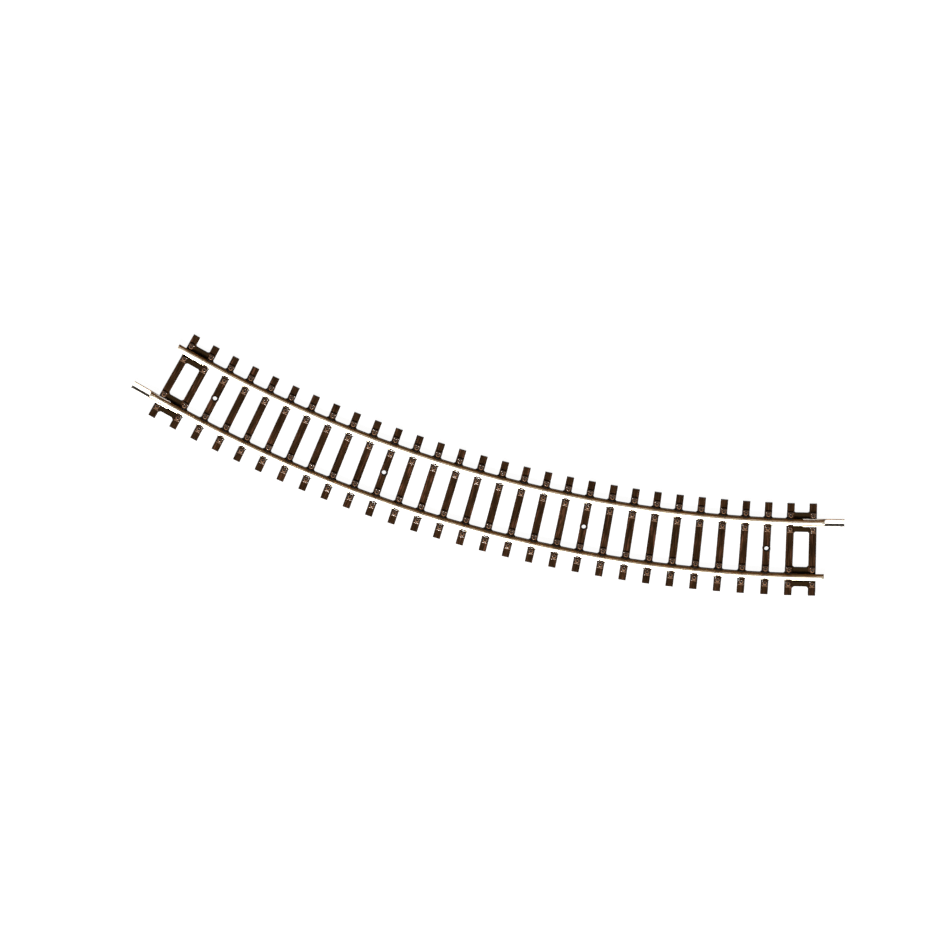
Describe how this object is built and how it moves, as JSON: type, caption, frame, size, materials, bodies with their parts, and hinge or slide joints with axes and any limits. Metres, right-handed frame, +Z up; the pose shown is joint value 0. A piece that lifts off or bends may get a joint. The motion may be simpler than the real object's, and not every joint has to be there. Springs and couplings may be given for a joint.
{
  "type": "curved model railway track section",
  "caption": "Curved model railway track: two metal rails held in a moulded strip of brown sleepers, with a sliding sheet-metal joiner on one rail at each end.",
  "frame": {"origin": "on the track's centreline at the middle of the arc, on the plane that the sleepers rest on", "axes": "+X along the track's tangent at mid arc, +Y towards the centre of the curve, which is at (0, 0.42188, 0), +Z up through the rail heads"},
  "size_m": [0.2314, 0.0429, 0.0045],
  "materials": {
    "sleeper_plastic": "moulded dark brown plastic with a timber grain",
    "rail_metal": "drawn nickel silver, bright along the running surface and duller brown on the web",
    "joiner_metal": "folded bright sheet metal"
  },
  "bodies": {
    "track": {"sleeper_strip": "sleeper_plastic", "inner_rail": "rail_metal", "outer_rail": "rail_metal"},
    "left_joiner": {"left_joiner": "joiner_metal"},
    "right_joiner": {"right_joiner": "joiner_metal"}
  },
  "joints": [
    {"name": "left_joiner_slide", "type": "slide", "parent": "track", "child": "left_joiner", "axis": [-0.968, 0.2511, 0], "range_m": [-0.0024, 0.0065]},
    {"name": "right_joiner_slide", "type": "slide", "parent": "track", "child": "right_joiner", "axis": [0.9681, 0.2507, 0], "range_m": [-0.0024, 0.0065]}
  ]
}
